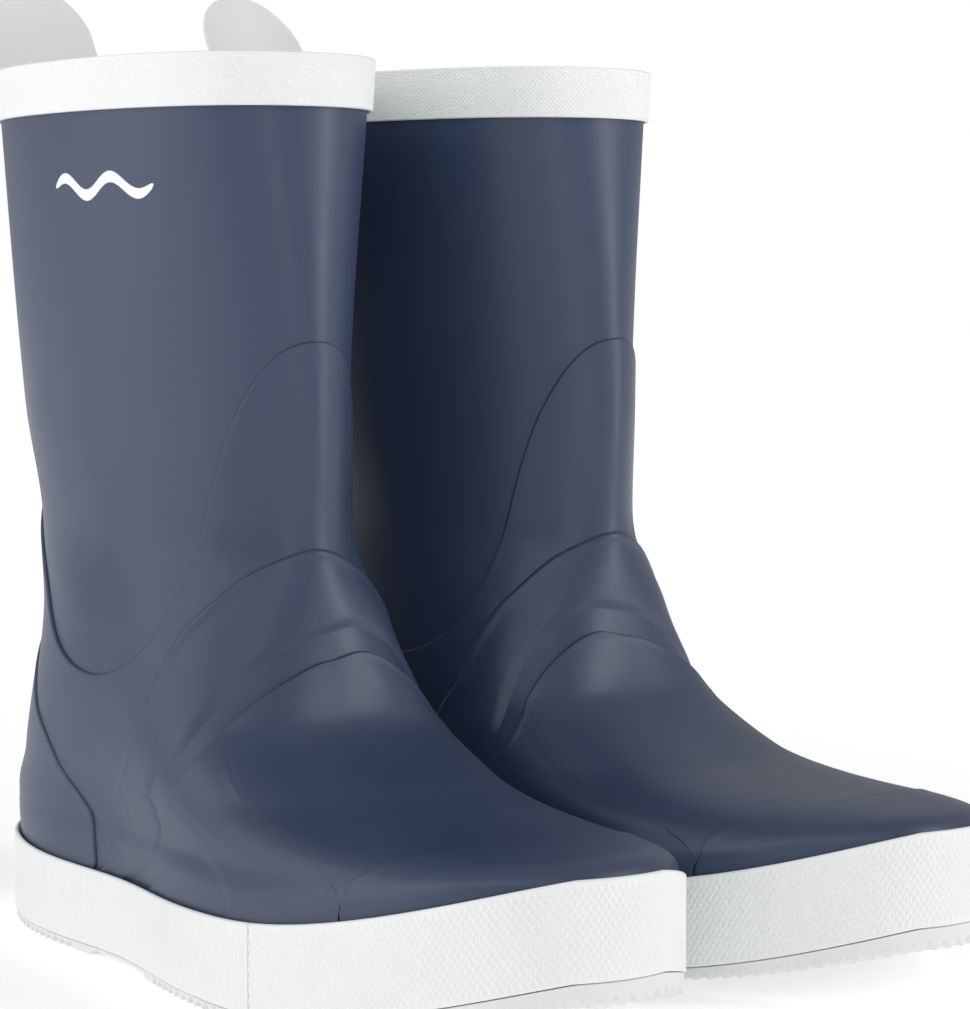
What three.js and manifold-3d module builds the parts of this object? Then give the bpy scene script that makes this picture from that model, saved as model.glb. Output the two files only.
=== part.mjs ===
// A pair of calf-height rubber deck boots, laid up the way a boot maker does it: a textile
// sock, a rubber upper over it, thin rubber overlays on the foot, a white band at the rim,
// and a board, filler, shank and outsole under the foot, held together by a white foxing tape.
//
// Millimetres, +X towards the toes, +Y to the left, +Z up. The origin is on the ground,
// in the middle of the pair. One boot is built in its own frame, with x = 0 near the back
// of the heel, and its mirror image makes the other boot.

import * as THREE from "three";
import { mergeVertices } from "three/addons/utils/BufferGeometryUtils.js";
import Module from "manifold-3d";

const wasm = await Module();
wasm.setup();

// ---------------------------------------------------------------- driving dimensions

const RIM_HEIGHT = 285; // top of the shaft above the ground
const FOOT_LENGTH = 307; // length of the upper at the foxing
const TOE_SPRING = 16.5; // how far the toe tip curls up off the ground
const SPRING_START = 0.62; // where the curl starts, as a share of the foot length
const TOE_SWING = 6; // how far the toe tip bends towards the other boot
const WAIST = 0.17; // how much narrower the foot is under the arch
const WAIST_PLACE = 0.36;
const WAIST_SPREAD = 0.16;

const PAIR_SPACING = 113; // between the two boots, measured REFERENCE_X along each of them
const REFERENCE_X = 100;
const TOE_OUT = THREE.MathUtils.degToRad(4.2); // each boot's turn away from the other

// Thicknesses, and the gap that laminated layers keep between each other.
const GAP = 0.3;
const UPPER_THICK = 1.8;
const LINING_THICK = 1;
const OVERLAY_THICK = 0.8;
const STRAP_THICK = 1.2;
const BAND_THICK = 1.5;
const FOXING_THICK = 2.3;
const PRINT_THICK = 0.3;
const TAB_THICK = 2;

const BAND_HEIGHT = 16.5;
const MARGIN = 14; // width of the edge that is lasted in under the board

// Heights of the layers under the foot, at the heel. They curl up with the toe.
const TREAD_TOP = 2;
const PLATE_BOTTOM = 1.6;
const SOLE_CORE_TOP = 6.2;
const UPPER_BOTTOM = 7.8;
const BOARD_BOTTOM = 9.9;
const BOARD_TOP = 11.7;
const LINING_BOTTOM = 12;
const FOOTBED_BOTTOM = 13.3;
const FOOTBED_TOP = 17.5;

// The foxing tape: its upper edge at the heel, the middle and the toe, and its lower edge.
const FOXING_TOP = { heel: 30.3, middle: 28.2, toe: 35.8 };
const FOXING_BOTTOM = 3.2;
const FOXING_TOE_RISE = 4;
const FOXING_JOINT_X = 212; // where the toe bumper takes over from the heel foxing

// Level sections of the upper, from the ground outline to the rim. Each gives its two ends
// on the boot's midline, its half width, the place of that width as a share of its length,
// and how square its heel end and its toe end are (2 is an ellipse).
const SECTIONS = [
  { z: 30, back: -7, front: 307, half: 56, wide: 0.69, heel: 2.35, toe: 2.0 },
  { z: 37, back: -5.7, front: 303.5, half: 55.5, wide: 0.67, heel: 2.42, toe: 2.25 },
  { z: 45, back: -4, front: 284, half: 53, wide: 0.64, heel: 2.5, toe: 2.8 },
  { z: 60, back: 2, front: 212, half: 53.5, wide: 0.6, heel: 2.1, toe: 2.7 },
  { z: 80, back: 6, front: 171, half: 50, wide: 0.6, heel: 1.95, toe: 2.9 },
  { z: 105, back: 7, front: 160, half: 44, wide: 0.55, heel: 1.85, toe: 2.6 },
  { z: 135, back: 7, front: 156, half: 39.5, wide: 0.53, heel: 2.2, toe: 1.8 },
  { z: 175, back: -2, front: 158, half: 41, wide: 0.48, heel: 2.25, toe: 1.8 },
  { z: 285, back: -16, front: 155, half: 47.5, wide: 0.49, heel: 2.1, toe: 2.35 },
];
const AROUND = 28; // points round a section
const HEIGHTS = [20, 30, 38, 47, 56, 70, 90, 115, 150, 205];

// ---------------------------------------------------------------- materials

const rubber = (color, roughness) =>
  new THREE.MeshStandardMaterial({ color, roughness, metalness: 0 });
const NAVY = rubber(0x2e3a50, 0.45);
const WHITE = rubber(0xeef0ef, 0.55);
const PRINT = rubber(0xf4f4f2, 0.6);
const KNIT = rubber(0xc9ccd0, 0.95);
const FOAM = rubber(0x3a3d42, 0.9);
const BOARD = rubber(0x9c8f78, 0.9);
const SPONGE = rubber(0x4a4a48, 0.9);
const STEEL = new THREE.MeshStandardMaterial({ color: 0x8d9094, roughness: 0.4, metalness: 1 });

// ---------------------------------------------------------------- the boot's shape

const smooth = (a) => a * a * (3 - 2 * a);
const clamp01 = (a) => Math.min(1, Math.max(0, a));

// A section value at height z: a cubic between its neighbours that never overshoots them.
function sectionValue(name, z) {
  const at = SECTIONS.map((s) => s.z);
  const v = SECTIONS.map((s) => s[name]);
  const last = at.length - 1;
  if (z <= at[0]) return v[0];
  if (z >= at[last]) return v[last];
  const slope = (i) => (v[i + 1] - v[i]) / (at[i + 1] - at[i]);
  const tangent = (i) => {
    if (i === 0) return slope(0);
    if (i === last) return slope(last - 1);
    const before = slope(i - 1);
    const after = slope(i);
    if (before * after <= 0) return 0;
    return (2 * before * after) / (before + after);
  };
  const i = at.findIndex((a) => a > z) - 1;
  const span = at[i + 1] - at[i];
  const f = (z - at[i]) / span;
  const rise = v[i + 1] - v[i];
  const start = tangent(i) * span;
  const end = tangent(i + 1) * span;
  return v[i] + f * (start + f * (3 * rise - 2 * start - end + f * (start + end - 2 * rise)));
}

// The share of the toe's curl at x.
const toeCurl = (x) => clamp01((x / FOOT_LENGTH - SPRING_START) / (1 - SPRING_START)) ** 2;

// The foot's bends fade out above the foot.
const FOOT_FADE = 90;
const fadeAt = (z) => smooth(1 - clamp01((z - SECTIONS[0].z) / FOOT_FADE));

// Below this height the upper's edge rounds inwards.
const EDGE_ROUND = 10;
const EDGE_INSET = 3;

// The point of the upper's outer face at height z and a turn from 0 (back of the heel)
// over the left side to PI (toe) and back over the right side.
function formPoint(z, turn) {
  const back = sectionValue("back", z);
  const front = sectionValue("front", z);
  const middle = back + (front - back) * sectionValue("wide", z);
  const along = -Math.cos(turn);
  const x = middle + along * (along < 0 ? middle - back : front - middle);
  const power = sectionValue(along < 0 ? "heel" : "toe", z);
  const across = Math.max(0, 1 - Math.abs(along) ** power) ** (1 / power);
  const share = clamp01(x / FOOT_LENGTH);
  const fade = fadeAt(z);
  const waist = 1 - WAIST * fade * Math.exp(-(((share - WAIST_PLACE) / WAIST_SPREAD) ** 2));
  const side = Math.sign(Math.sin(turn));
  const y = side * sectionValue("half", z) * across * waist + TOE_SWING * share ** 2 * fade;
  return new THREE.Vector3(x, y, z + TOE_SPRING * toeCurl(x) * fade);
}

// The outward normal of that face.
function formNormal(z, turn) {
  const step = 0.02;
  const round = formPoint(z, turn + step).sub(formPoint(z, turn - step));
  const up = formPoint(Math.min(z + 1, RIM_HEIGHT), turn).sub(formPoint(z - 1, turn));
  return up.cross(round).normalize();
}

// A ring of points at height z, offset outwards by d. A flat ring keeps its height, and the
// rings of the foot's layers follow the toe's curl at the place they are offset to.
function ring(z, d, flat = false) {
  const inFoot = z <= SECTIONS[0].z;
  const inset = EDGE_INSET * clamp01((UPPER_BOTTOM + EDGE_ROUND - z) / EDGE_ROUND) ** 2;
  const points = [];
  for (let k = 0; k < AROUND; k += 1) {
    const turn = (2 * Math.PI * k) / AROUND;
    const normal = formNormal(z, turn);
    if (flat || inFoot) normal.setZ(0).normalize();
    const point = formPoint(z, turn).addScaledVector(normal, d - inset);
    if (inFoot) point.setZ(z + TOE_SPRING * toeCurl(point.x));
    points.push(point);
  }
  return points;
}

// ---------------------------------------------------------------- geometry helpers

function indexed(points, triangles) {
  const geometry = new THREE.BufferGeometry().setFromPoints(points);
  geometry.setIndex(triangles.flat());
  return geometry;
}

// The wall between successive rings. A closed wall joins the last ring to the first. Rows
// that run down are split the other way, so that the faces of two layers stay parallel.
function wallTriangles(rings, closed) {
  const triangles = [];
  for (let i = 0; i < (closed ? rings.length : rings.length - 1); i += 1) {
    const above = (i + 1) % rings.length;
    const rises = rings[above][0].z > rings[i][0].z;
    for (let k = 0; k < AROUND; k += 1) {
      const next = (k + 1) % AROUND;
      const [a, b] = [i * AROUND + k, above * AROUND + k];
      const [c, d] = [above * AROUND + next, i * AROUND + next];
      if (rises) triangles.push([a, b, c], [a, c, d]);
      else triangles.push([a, b, d], [b, c, d]);
    }
  }
  return triangles;
}

// A hollow wall: the rings run up its outer face and down its inner face.
function hollow(rings) {
  return indexed(rings.flat(), wallTriangles(rings, true));
}

// A solid slab: its rings run upwards, and strips across the boot close both ends.
function slab(rings) {
  const triangles = wallTriangles(rings, false);
  const top = (rings.length - 1) * AROUND;
  for (let k = 0; k < AROUND / 2; k += 1) {
    const left = [k, k + 1];
    const right = [(AROUND - k) % AROUND, AROUND - k - 1];
    const faces = [];
    if (left[1] !== right[1]) faces.push([left[0], left[1], right[1]]);
    if (left[0] !== right[0]) {
      const corner = left[1] === right[1] ? left[1] : right[1];
      faces.push([left[0], corner, right[0]]);
    }
    for (const [a, b, c] of faces) triangles.push([a, b, c], [top + a, top + c, top + b]);
  }
  return indexed(rings.flat(), triangles);
}

function solid(geometry) {
  const bare = geometry.index ? geometry.toNonIndexed() : geometry.clone();
  bare.deleteAttribute("normal");
  bare.deleteAttribute("uv");
  const merged = mergeVertices(bare, 1e-4);
  return new wasm.Manifold(
    new wasm.Mesh({
      numProp: 3,
      vertProperties: merged.attributes.position.array,
      triVerts: new Uint32Array(merged.index.array),
    }),
  );
}

function geometryOf(manifold) {
  const mesh = manifold.getMesh();
  const geometry = new THREE.BufferGeometry();
  geometry.setAttribute("position", new THREE.BufferAttribute(mesh.vertProperties, 3));
  geometry.setIndex(new THREE.BufferAttribute(mesh.triVerts, 1));
  return geometry;
}

// A cutter seen from the side: an outline of [x, z] points, run right through the boot.
const REACH = 100;
function sideCutter(outline, nearY = -REACH, farY = REACH) {
  const shape = new THREE.Shape(outline.map(([x, z]) => new THREE.Vector2(x, z)));
  const geometry = new THREE.ExtrudeGeometry(shape, { depth: farY - nearY, bevelEnabled: false });
  geometry.rotateX(Math.PI / 2);
  geometry.translate(0, farY, 0);
  return solid(geometry);
}

// A smooth line through hand-placed [x, z] points.
function smoothLine(points, steps) {
  const curve = new THREE.SplineCurve(points.map(([x, z]) => new THREE.Vector2(x, z)));
  return curve.getPoints(steps).map((p) => [p.x, p.y]);
}

// ---------------------------------------------------------------- the foxing line

function foxingTop(x) {
  const u = clamp01(x / FOOT_LENGTH);
  const { heel, middle, toe } = FOXING_TOP;
  return heel * (1 - u) * (1 - 2 * u) + middle * 4 * u * (1 - u) + toe * u * (2 * u - 1);
}
const foxingBottom = (x) => FOXING_BOTTOM + FOXING_TOE_RISE * toeCurl(x);

// The foxing line seen from the side, from the toe to the heel, lifted clear of the tape.
const OVERLAY_CLEARANCE = 0.8;
function foxingLine(fromX, toX, steps) {
  const line = [];
  for (let i = 0; i <= steps; i += 1) {
    const x = fromX + ((toX - fromX) * i) / steps;
    line.push([x, foxingTop(x) + TOE_SPRING * toeCurl(x) + OVERLAY_CLEARANCE]);
  }
  return line;
}

// ---------------------------------------------------------------- upper and lining

function upper() {
  const inner = -UPPER_THICK;
  const floor = UPPER_BOTTOM + UPPER_THICK;
  const top = RIM_HEIGHT - GAP;
  return hollow([
    ring(UPPER_BOTTOM, -MARGIN),
    ring(UPPER_BOTTOM, 0),
    ...[12, ...HEIGHTS].map((z) => ring(z, 0)),
    ring(top, 0, true),
    ring(top, inner, true),
    ...[12, ...HEIGHTS].reverse().map((z) => ring(z, inner)),
    ring(floor, inner),
    ring(floor, -MARGIN),
  ]);
}

function lining() {
  const outer = -UPPER_THICK - GAP;
  const inner = outer - LINING_THICK;
  const floor = LINING_BOTTOM + LINING_THICK;
  const top = RIM_HEIGHT - 2 * GAP;
  return hollow([
    ring(LINING_BOTTOM, -MARGIN),
    ring(LINING_BOTTOM, outer),
    ...HEIGHTS.map((z) => ring(z, outer)),
    ring(top, outer, true),
    ring(top, inner, true),
    ...[...HEIGHTS].reverse().map((z) => ring(z, inner)),
    ring(floor, inner),
    ring(floor, -MARGIN),
  ]);
}

// ---------------------------------------------------------------- overlays on the foot

// A skin of the given thickness, laid on layer number `layer` outside the upper.
function skin(heights, layer, thick) {
  const inner = GAP + layer * (OVERLAY_THICK + GAP);
  return solid(
    hollow([
      ...heights.map((z) => ring(z, inner + thick)),
      ...[...heights].reverse().map((z) => ring(z, inner)),
    ]),
  );
}

// The galosh covers the foot. Its upper edge peaks on the shin and at the back.
function galosh() {
  const edge = smoothLine(
    [
      [-20, 153],
      [4, 151],
      [24, 136],
      [49, 110],
      [66, 97],
      [90, 91],
      [112, 95],
      [127, 104],
      [132, 122],
      [137, 148],
      [144, 173],
      [151, 188],
      [159, 196],
    ],
    22,
  );
  const outline = [[-40, 0], [-40, 153], ...edge, [180, 197], [340, 190], [340, 0]];
  const heights = [12, 20, 30, 38, 47, 56, 70, 90, 115, 150, 205];
  return geometryOf(skin(heights, 0, OVERLAY_THICK).intersect(sideCutter(outline)));
}

// The counter stiffens the heel, and runs down and forward to the foxing.
const COUNTER_FOOT_X = 92;
function heelCounter() {
  const edge = smoothLine(
    [
      [-20, 110],
      [5, 106],
      [24, 96],
      [46, 78],
      [66, 67],
      [78, 56],
      [84, 43],
      [COUNTER_FOOT_X, 28],
    ],
    12,
  );
  const outline = [[-40, 110], ...edge.slice(0, -1), ...foxingLine(COUNTER_FOOT_X, -12, 8)];
  outline.push([-40, outline.at(-1)[1]]);
  const cutter = sideCutter(outline.reverse());
  return geometryOf(skin([26, 30, 38, 47, 56, 70, 90, 115], 1, OVERLAY_THICK).intersect(cutter));
}

// The instep strap lies across the instep, between two ribs, and narrows to the foxing.
const STRAP_BACK_X = 97;
const STRAP_FRONT_X = 129;
const UPPER_RIB = smoothLine(
  [
    [STRAP_BACK_X, 28],
    [115, 62],
    [129, 83],
    [137, 104],
    [145, 121],
    [151, 128],
    [158, 132],
  ],
  11,
);
const LOWER_RIB = smoothLine(
  [
    [163, 101],
    [161, 88],
    [158, 70],
    [150, 56],
    [134, 44],
    [STRAP_FRONT_X, 28],
  ],
  10,
);
function instepStrap() {
  const floor = foxingLine(STRAP_FRONT_X, STRAP_BACK_X, 3);
  const outline = [
    ...UPPER_RIB.slice(1),
    [180, 132],
    [180, 101],
    ...LOWER_RIB.slice(0, -1),
    ...floor,
  ];
  const heights = [26, 30, 38, 47, 56, 70, 90, 115, 150];
  return geometryOf(skin(heights, 1, STRAP_THICK).intersect(sideCutter(outline)));
}

// The line across the toes where the toe cap ends. Its own ends curve down to the foxing.
const CAP_X = 271;
const CAP_FOOT_X = 236;
const CAP_EDGE = smoothLine(
  [
    [CAP_X, 62],
    [CAP_X - 1, 55],
    [262, 50.5],
    [250, 45],
    [240, 38],
  ],
  10,
);

// The vamp panel covers the forefoot, from a groove behind it to the toe cap.
const GROOVE = 4;
const CAP_GAP = 1; // between the vamp and the toe cap, along the boot
function vamp() {
  const lip = LOWER_RIB.map(([x, z]) => [x + GROOVE, z]);
  const floor = foxingLine(STRAP_FRONT_X + GROOVE, CAP_FOOT_X - CAP_GAP, 6);
  const front = CAP_EDGE.map(([x, z]) => [x - CAP_GAP, z]).reverse();
  const outline = [[180, 101], ...lip.slice(0, -1), ...floor, ...front, [CAP_X - CAP_GAP, 101]];
  const heights = [26, 30, 38, 47, 56, 70, 90, 115];
  return geometryOf(skin(heights, 1, OVERLAY_THICK).intersect(sideCutter(outline)));
}

// The toe cap covers the toes.
function toeCap() {
  const floor = foxingLine(CAP_FOOT_X, 318, 10);
  const outline = [[CAP_X, 80], ...CAP_EDGE, ...floor, [330, floor.at(-1)[1]], [330, 80]];
  const heights = [26, 30, 34, 38, 42, 47, 51, 56, 70];
  return geometryOf(skin(heights, 1, OVERLAY_THICK).intersect(sideCutter(outline)));
}

// A generic wave print high on the outer side.
const PRINT_PLACE = { x: 97, z: 245, length: 50, height: 9 };
function sidePrint() {
  const { x, z, length, height } = PRINT_PLACE;
  const steps = 16;
  const stroke = height * 0.38;
  const wave = (share) => (height - stroke) * 0.5 * Math.sin(share * Math.PI * 4);
  const lower = [];
  const higher = [];
  for (let i = 0; i <= steps; i += 1) {
    const share = i / steps;
    const at = x + length * (share - 0.5);
    const half = 0.5 * stroke * Math.sqrt(1 - (2 * share - 1) ** 6) + 0.1;
    lower.push([at, z + wave(share) - half]);
    higher.unshift([at, z + wave(share) + half]);
  }
  const printSkin = solid(
    hollow([
      ring(205, GAP + PRINT_THICK),
      ring(RIM_HEIGHT - GAP, GAP + PRINT_THICK, true),
      ring(RIM_HEIGHT - GAP, GAP, true),
      ring(205, GAP),
    ]),
  );
  return geometryOf(printSkin.intersect(sideCutter([...lower, ...higher], -REACH, 0)));
}

// ---------------------------------------------------------------- rim band and pull tab

function rimBand() {
  const low = RIM_HEIGHT - BAND_HEIGHT;
  return hollow([
    ring(low, GAP + BAND_THICK, true),
    ring(RIM_HEIGHT, GAP + BAND_THICK, true),
    ring(RIM_HEIGHT, GAP, true),
    ring(low, GAP, true),
  ]);
}

// The tab is an arched tongue of rubber on the outside of the band, at the back. It leans
// away from the boot and is cupped like the rim it is bonded to.
const TAB_HALF_WIDTH = 22;
const TAB_TOP = 321;
const TAB_HINGE_Z = 276;
const TAB_LEAN = [
  [0, TAB_HINGE_Z],
  [10, 288],
  [18, 299.5],
  [23, 312],
  [24, TAB_TOP],
];
const TAB_FOOT = RIM_HEIGHT - BAND_HEIGHT + 0.5;
const TAB_CUP_RADIUS = 33; // radius of the rim at the back
const TAB_ARCH = 20; // height of the tab's round end

// A sheet of rows and columns between two faces, closed round its edge.
function sheet(rows, columns, pointAt) {
  const points = [];
  for (let face = 0; face < 2; face += 1)
    for (let i = 0; i <= rows; i += 1)
      for (let j = 0; j <= columns; j += 1) points.push(pointAt(i / rows, j / columns, face));
  const size = (rows + 1) * (columns + 1);
  const at = (i, j, face) => face * size + i * (columns + 1) + j;
  const triangles = [];
  const quad = (a, b, c, d) => triangles.push([a, b, c], [a, c, d]);
  for (let i = 0; i < rows; i += 1)
    for (let j = 0; j < columns; j += 1) {
      quad(at(i, j, 0), at(i, j + 1, 0), at(i + 1, j + 1, 0), at(i + 1, j, 0));
      quad(at(i, j, 1), at(i + 1, j, 1), at(i + 1, j + 1, 1), at(i, j + 1, 1));
    }
  for (let i = 0; i < rows; i += 1) {
    quad(at(i, 0, 0), at(i + 1, 0, 0), at(i + 1, 0, 1), at(i, 0, 1));
    quad(at(i, columns, 0), at(i, columns, 1), at(i + 1, columns, 1), at(i + 1, columns, 0));
  }
  for (let j = 0; j < columns; j += 1) {
    quad(at(0, j, 0), at(0, j, 1), at(0, j + 1, 1), at(0, j + 1, 0));
    quad(at(rows, j, 0), at(rows, j + 1, 0), at(rows, j + 1, 1), at(rows, j, 1));
  }
  return indexed(points, triangles);
}

const TAB_START = sectionValue("back", RIM_HEIGHT) - 2 * GAP - BAND_THICK;
const cupAt = (y) => TAB_CUP_RADIUS - Math.sqrt(TAB_CUP_RADIUS ** 2 - y * y);

// The bonded foot of the tab, flat against the band. Its ends drop to clear the moving part.
function tabFoot() {
  const drop = 2;
  return sheet(1, 8, (up, across, face) => {
    const y = (0.5 - across) * 2 * TAB_HALF_WIDTH;
    const top = TAB_HINGE_Z - GAP - drop * (y / TAB_HALF_WIDTH) ** 2;
    const x = TAB_START + cupAt(y) - (face === 0 ? TAB_THICK : 0);
    return new THREE.Vector3(x, y, TAB_FOOT + up * (top - TAB_FOOT));
  });
}

function tabFlap() {
  const lean = new THREE.SplineCurve(TAB_LEAN.map(([b, z]) => new THREE.Vector2(b, z)));
  return sheet(9, 8, (up, across, face) => {
    const { x: behind, y: z } = lean.getPoint(up);
    const slope = lean.getTangent(up);
    const below = Math.min(TAB_ARCH, TAB_TOP - z);
    const arch = Math.sqrt(TAB_ARCH ** 2 - (TAB_ARCH - below) ** 2) / TAB_ARCH;
    const y = (0.5 - across) * 2 * TAB_HALF_WIDTH * Math.max(arch, 0.15);
    const thick = face === 0 ? TAB_THICK : 0;
    const x = TAB_START + cupAt(y) * (1 - 0.3 * up) - behind - thick * slope.y;
    return new THREE.Vector3(x, y, z - thick * slope.x * up);
  });
}

// ---------------------------------------------------------------- foxing and sole

// A ring whose height follows a function of x, on the upper's face offset by d.
function followingRing(heightAt, d) {
  const points = [];
  for (let k = 0; k < AROUND; k += 1) {
    const turn = (2 * Math.PI * k) / AROUND;
    const z = heightAt(formPoint(SECTIONS[0].z, turn).x);
    const level = Math.max(z, SECTIONS[0].z);
    const normal = formNormal(level, turn).setZ(0).normalize();
    const point = formPoint(level, turn).addScaledVector(normal, d);
    points.push(point.setZ(point.z + z - level));
  }
  return points;
}

const FOXING_INNER = 3 * GAP + OVERLAY_THICK;
const FOXING_OUTER = FOXING_INNER + FOXING_THICK;
const FOXING_SHOULDER = 2; // the tape turns in at least this far below its upper edge
const FOXING_EASE = 1.4; // and clears the foot a little more there

function foxingPart(fromX, toX) {
  const shoulder = (x) => Math.min(SECTIONS[0].z, foxingTop(x) - FOXING_SHOULDER);
  const tape = hollow([
    followingRing(foxingBottom, FOXING_OUTER),
    followingRing(shoulder, FOXING_OUTER),
    followingRing(foxingTop, FOXING_OUTER),
    followingRing(foxingTop, FOXING_INNER + FOXING_EASE),
    followingRing(shoulder, FOXING_INNER),
    followingRing(foxingBottom, FOXING_INNER),
  ]);
  const outline = [[fromX, -10], [toX, -10], [toX, 90], [fromX, 90]];
  return geometryOf(solid(tape).intersect(sideCutter(outline)));
}

// The outsole: a plate whose edge shows under the foxing, a raised core inside the tape,
// and two treads on the ground with the arch free between them.
const HEEL_TREAD_FRONT = 92;
const FORE_TREAD_BACK = 136;
function outsole() {
  const plateTop = (x) => foxingBottom(x) - GAP;
  const plate = solid(
    slab([
      followingRing(() => PLATE_BOTTOM, FOXING_OUTER - 0.6),
      followingRing(plateTop, FOXING_OUTER - 0.6),
    ]),
  );
  const core = solid(slab([ring(TREAD_TOP, 1), ring(SOLE_CORE_TOP, 1)]));
  const tread = solid(
    slab([
      followingRing(() => 0, FOXING_OUTER - 2.2),
      followingRing(() => TREAD_TOP, FOXING_OUTER - 1.4),
    ]),
  );
  const heel = sideCutter([[-40, -10], [HEEL_TREAD_FRONT - 4, -10], [HEEL_TREAD_FRONT, 20], [-40, 20]]);
  const fore = sideCutter([[FORE_TREAD_BACK, -10], [360, -10], [360, 60], [FORE_TREAD_BACK, 60]]);
  const treads = tread.intersect(heel).add(tread.intersect(fore));
  return geometryOf(plate.add(core).add(treads));
}

const SHANK = { from: 72, to: 165, width: 14, bottom: 7.7, thick: 1.5 };

function shankBox(grow) {
  const { from, to, width, bottom, thick } = SHANK;
  const tall = grow > 0 ? 12 : thick;
  const box = new THREE.BoxGeometry(to - from + 2 * grow, width + 2 * grow, tall);
  return box.translate((from + to) / 2, 0, bottom - grow + tall / 2);
}

// The filler lies inside the lasted edge, with a pocket for the shank.
function soleFiller() {
  const edge = -MARGIN - GAP;
  const levels = [SOLE_CORE_TOP + GAP, UPPER_BOTTOM, UPPER_BOTTOM + UPPER_THICK];
  const block = slab(levels.map((z) => ring(z, edge)));
  return geometryOf(solid(block).subtract(solid(shankBox(GAP))));
}

const insoleBoard = () => {
  const edge = -UPPER_THICK - GAP;
  return slab([ring(BOARD_BOTTOM, edge), ring(BOARD_TOP, edge)]);
};

const FOOTBED_CLEARANCE = 1.7; // between the footbed's edge and the lining
const footbed = () => {
  const edge = -UPPER_THICK - GAP - LINING_THICK - FOOTBED_CLEARANCE;
  return slab([ring(FOOTBED_BOTTOM, edge), ring(FOOTBED_TOP, edge)]);
};

// ---------------------------------------------------------------- assembly

const PIECES = [
  ["upper", upper, NAVY],
  ["lining", lining, KNIT],
  ["galosh", galosh, NAVY],
  ["heel_counter", heelCounter, NAVY],
  ["instep_strap", instepStrap, NAVY],
  ["vamp", vamp, NAVY],
  ["toe_cap", toeCap, NAVY],
  ["side_print", sidePrint, PRINT],
  ["rim_band", rimBand, WHITE],
  ["pull_tab_foot", tabFoot, WHITE],
  ["pull_tab", tabFlap, WHITE],
  ["heel_foxing", () => foxingPart(-40, FOXING_JOINT_X - GAP / 2), WHITE],
  ["toe_bumper", () => foxingPart(FOXING_JOINT_X + GAP / 2, 360), WHITE],
  ["outsole", outsole, WHITE],
  ["sole_filler", soleFiller, SPONGE],
  ["shank", () => shankBox(0), STEEL],
  ["insole_board", insoleBoard, BOARD],
  ["footbed", footbed, FOAM],
];

function boot(side) {
  const group = new THREE.Group();
  for (const [name, make, material] of PIECES) {
    const mesh = new THREE.Mesh(make(), material);
    mesh.name = `${side}_${name}`;
    mesh.position.x = -REFERENCE_X;
    group.add(mesh);
  }
  group.position.y = -PAIR_SPACING / 2;
  group.rotation.z = -TOE_OUT;
  return group;
}

const pair = new THREE.Group();
pair.add(boot("right"));
const mirrored = new THREE.Group();
mirrored.scale.y = -1;
mirrored.add(boot("left"));
pair.add(mirrored);

// The origin goes to the middle of the pair's own box.
pair.updateMatrixWorld(true);
const box = new THREE.Box3().setFromObject(pair, true);
const centring = new THREE.Group();
pair.position.x = -(box.min.x + box.max.x) / 2;
centring.add(pair);

export default centring;
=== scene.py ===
# %% [markdown]
# # A pair of rubber deck boots
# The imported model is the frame: its bodies, joints and sizes stay as they are. This script
# makes the surface that the eye sees. A rubber boot is laid up in thin sheets over a last,
# so nearly every piece here is a skin of one foot-shaped form, at its own distance from it.
# Work is done in one boot's own frame, in millimetres, and the other boot is its mirror image.

# %% Load the frame
import math

import bmesh
import bpy
import numpy as np
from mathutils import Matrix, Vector


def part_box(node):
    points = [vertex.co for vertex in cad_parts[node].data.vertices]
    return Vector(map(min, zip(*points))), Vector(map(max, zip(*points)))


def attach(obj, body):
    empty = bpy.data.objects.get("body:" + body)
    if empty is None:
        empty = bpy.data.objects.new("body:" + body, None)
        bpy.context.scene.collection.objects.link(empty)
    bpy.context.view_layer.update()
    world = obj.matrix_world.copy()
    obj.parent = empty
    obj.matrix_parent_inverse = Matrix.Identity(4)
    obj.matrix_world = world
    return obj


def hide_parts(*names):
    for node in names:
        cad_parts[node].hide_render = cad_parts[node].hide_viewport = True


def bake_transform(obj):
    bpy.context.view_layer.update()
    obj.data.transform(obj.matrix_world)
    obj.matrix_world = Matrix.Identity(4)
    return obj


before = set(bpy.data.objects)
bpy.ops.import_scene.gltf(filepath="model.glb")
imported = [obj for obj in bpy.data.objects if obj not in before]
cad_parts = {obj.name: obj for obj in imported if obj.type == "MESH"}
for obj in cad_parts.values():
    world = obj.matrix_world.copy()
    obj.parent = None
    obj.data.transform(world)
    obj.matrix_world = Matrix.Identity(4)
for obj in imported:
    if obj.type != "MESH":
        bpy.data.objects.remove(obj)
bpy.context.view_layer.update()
MM = 0.001

# %% [markdown]
# The camera stands in front of the right boot's outer side, a little under rim height, with
# a long lens that keeps the two boots nearly the same size. Its turn and tilt are plain
# angles.

# %% Camera
LENS = 119.0
CAMERA_FROM_PAIR = Vector((0.8945, -0.658, 0.0))
CAMERA_HEIGHT = 0.2121
CAMERA_TURN = math.radians(51.60)
CAMERA_TILT = math.radians(3.67)
PAIR_MIDDLE_X = -0.0335

camera_data = bpy.data.cameras.new("camera")
camera_data.lens = LENS
camera = bpy.data.objects.new("camera", camera_data)
bpy.context.scene.collection.objects.link(camera)
camera.location = CAMERA_FROM_PAIR + Vector((PAIR_MIDDLE_X, 0, CAMERA_HEIGHT))
camera.rotation_euler = (math.radians(90) - CAMERA_TILT, 0, CAMERA_TURN)
bpy.context.scene.camera = camera
print("camera stands", round(camera.location.length, 3), "m from the origin")

# %% [markdown]
# ## The last
# A boot's shape is a stack of level outlines, from the ground to the rim. Each outline has a
# heel end and a toe end, a half width and two numbers that say how square its ends are. The
# rows below are the same driving sections that the frame was designed from. Between them a
# cubic that never overshoots keeps the shaft free of bumps.

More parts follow.
